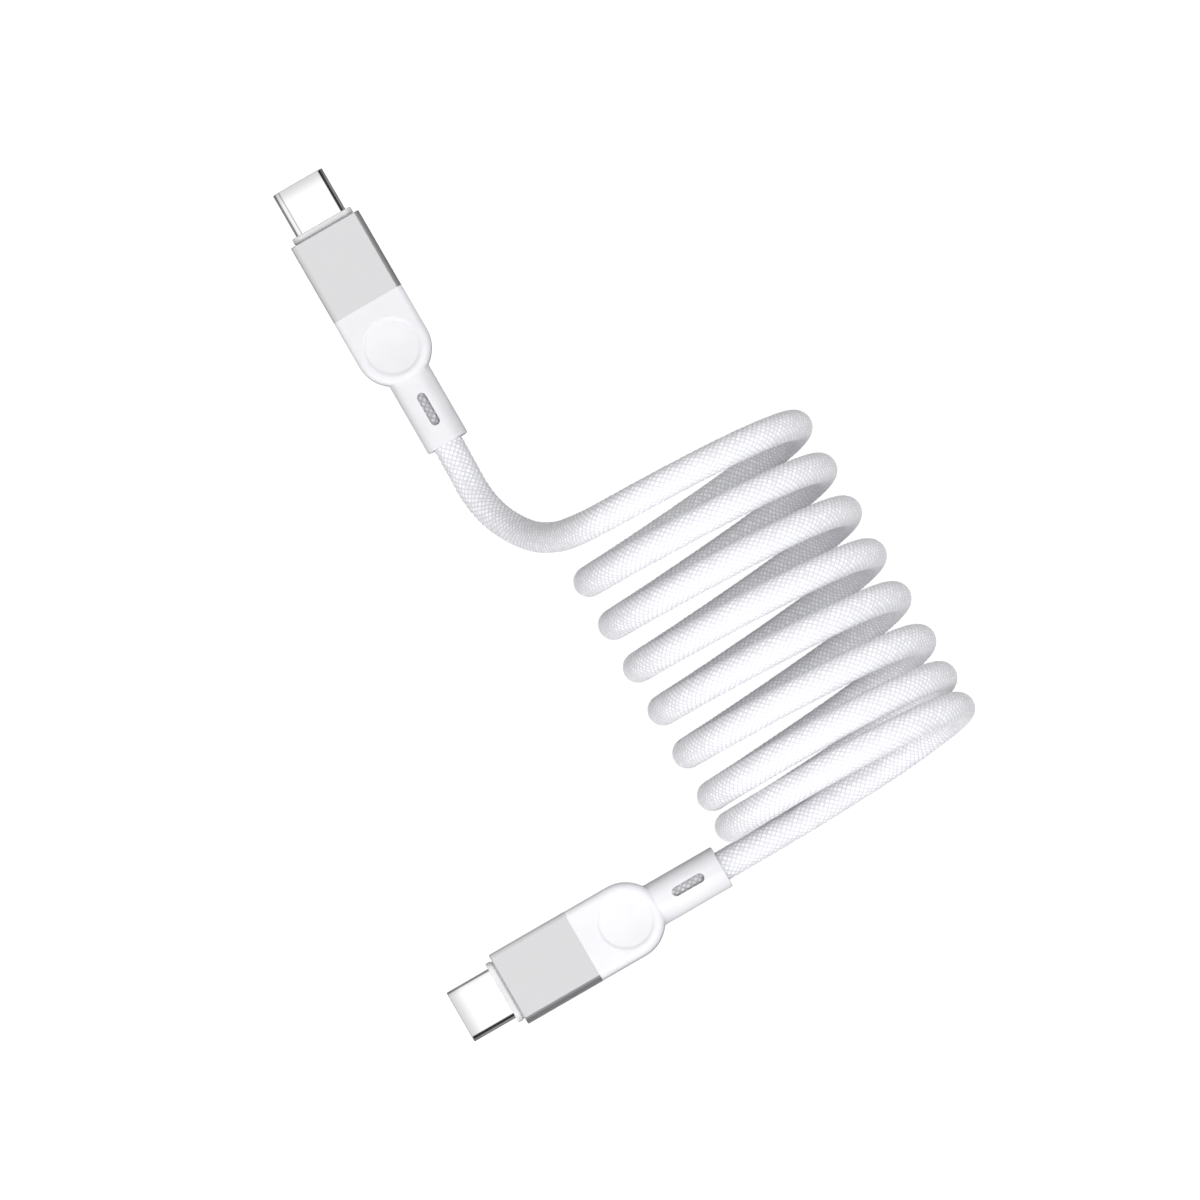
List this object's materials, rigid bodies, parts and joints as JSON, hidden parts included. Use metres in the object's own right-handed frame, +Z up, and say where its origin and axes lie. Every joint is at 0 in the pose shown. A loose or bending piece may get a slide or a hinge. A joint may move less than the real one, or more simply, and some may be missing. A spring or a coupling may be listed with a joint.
{
  "type": "charging cable",
  "caption": "Braided charging cable set in a spring coil that lies on its side, with a straight two-sided plug on each end.",
  "frame": {"origin": "on the table, under the middle of the box that holds the two plugs", "axes": "+Z up from the table; +Y the way plug A is pushed in, and along the coil's axis; plug B is pushed in along -X"},
  "size_m": [0.0882, 0.1236, 0.0423],
  "materials": {
    "white_braid": "close diamond braid of white nylon",
    "white_plastic": "satin white moulding",
    "satin_aluminium": "fine satin anodised faces with polished edges",
    "collar_plastic": "pale grey moulding",
    "polished_steel": "mirror polished drawn shell",
    "insulator_plastic": "black moulded insulator",
    "gold_contacts": "gold plated strip",
    "spring_steel": "bare spring steel",
    "circuit_board": "green solder mask",
    "chip_resin": "black moulding compound",
    "chip_ceramic": "sintered ceramic with tinned ends",
    "solder": "bright solder",
    "tinned_steel": "tin plated pressing",
    "jacket_rubber": "soft white jacket",
    "copper_ring": "plain copper",
    "core_insulation": "smooth wire insulation",
    "core_moulding": "unpainted low pressure moulding"
  },
  "bodies": {
    "root": {"coil": "white_braid", "lead_a": "white_braid", "lead_b": "white_braid", "plug_a_aluminium_sleeve": "satin_aluminium", "plug_a_chip_capacitors": "chip_ceramic", "plug_a_contact_carrier": "insulator_plastic", "plug_a_crimp_ring": "copper_ring", "plug_a_front_collar": "collar_plastic", "plug_a_inner_mould": "core_moulding", "plug_a_jacket_end": "jacket_rubber", "plug_a_latch_frame": "spring_steel", "plug_a_lower_contacts": "gold_contacts", "plug_a_lower_ground_spring": "spring_steel", "plug_a_lower_shield_can": "tinned_steel", "plug_a_marker_chip": "chip_resin", "plug_a_paddle_card": "circuit_board", "plug_a_power_cores": "core_insulation", "plug_a_rear_body": "white_plastic", "plug_a_shell": "polished_steel", "plug_a_signal_cores": "core_insulation", "plug_a_solder_joints": "solder", "plug_a_upper_contacts": "gold_contacts", "plug_a_upper_ground_spring": "spring_steel", "plug_a_upper_shield_can": "tinned_steel", "plug_b_aluminium_sleeve": "satin_aluminium", "plug_b_chip_capacitors": "chip_ceramic", "plug_b_contact_carrier": "insulator_plastic", "plug_b_crimp_ring": "copper_ring", "plug_b_front_collar": "collar_plastic", "plug_b_inner_mould": "core_moulding", "plug_b_jacket_end": "jacket_rubber", "plug_b_latch_frame": "spring_steel", "plug_b_lower_contacts": "gold_contacts", "plug_b_lower_ground_spring": "spring_steel", "plug_b_lower_shield_can": "tinned_steel", "plug_b_marker_chip": "chip_resin", "plug_b_paddle_card": "circuit_board", "plug_b_power_cores": "core_insulation", "plug_b_rear_body": "white_plastic", "plug_b_shell": "polished_steel", "plug_b_signal_cores": "core_insulation", "plug_b_solder_joints": "solder", "plug_b_upper_contacts": "gold_contacts", "plug_b_upper_ground_spring": "spring_steel", "plug_b_upper_shield_can": "tinned_steel"}
  },
  "joints": []
}
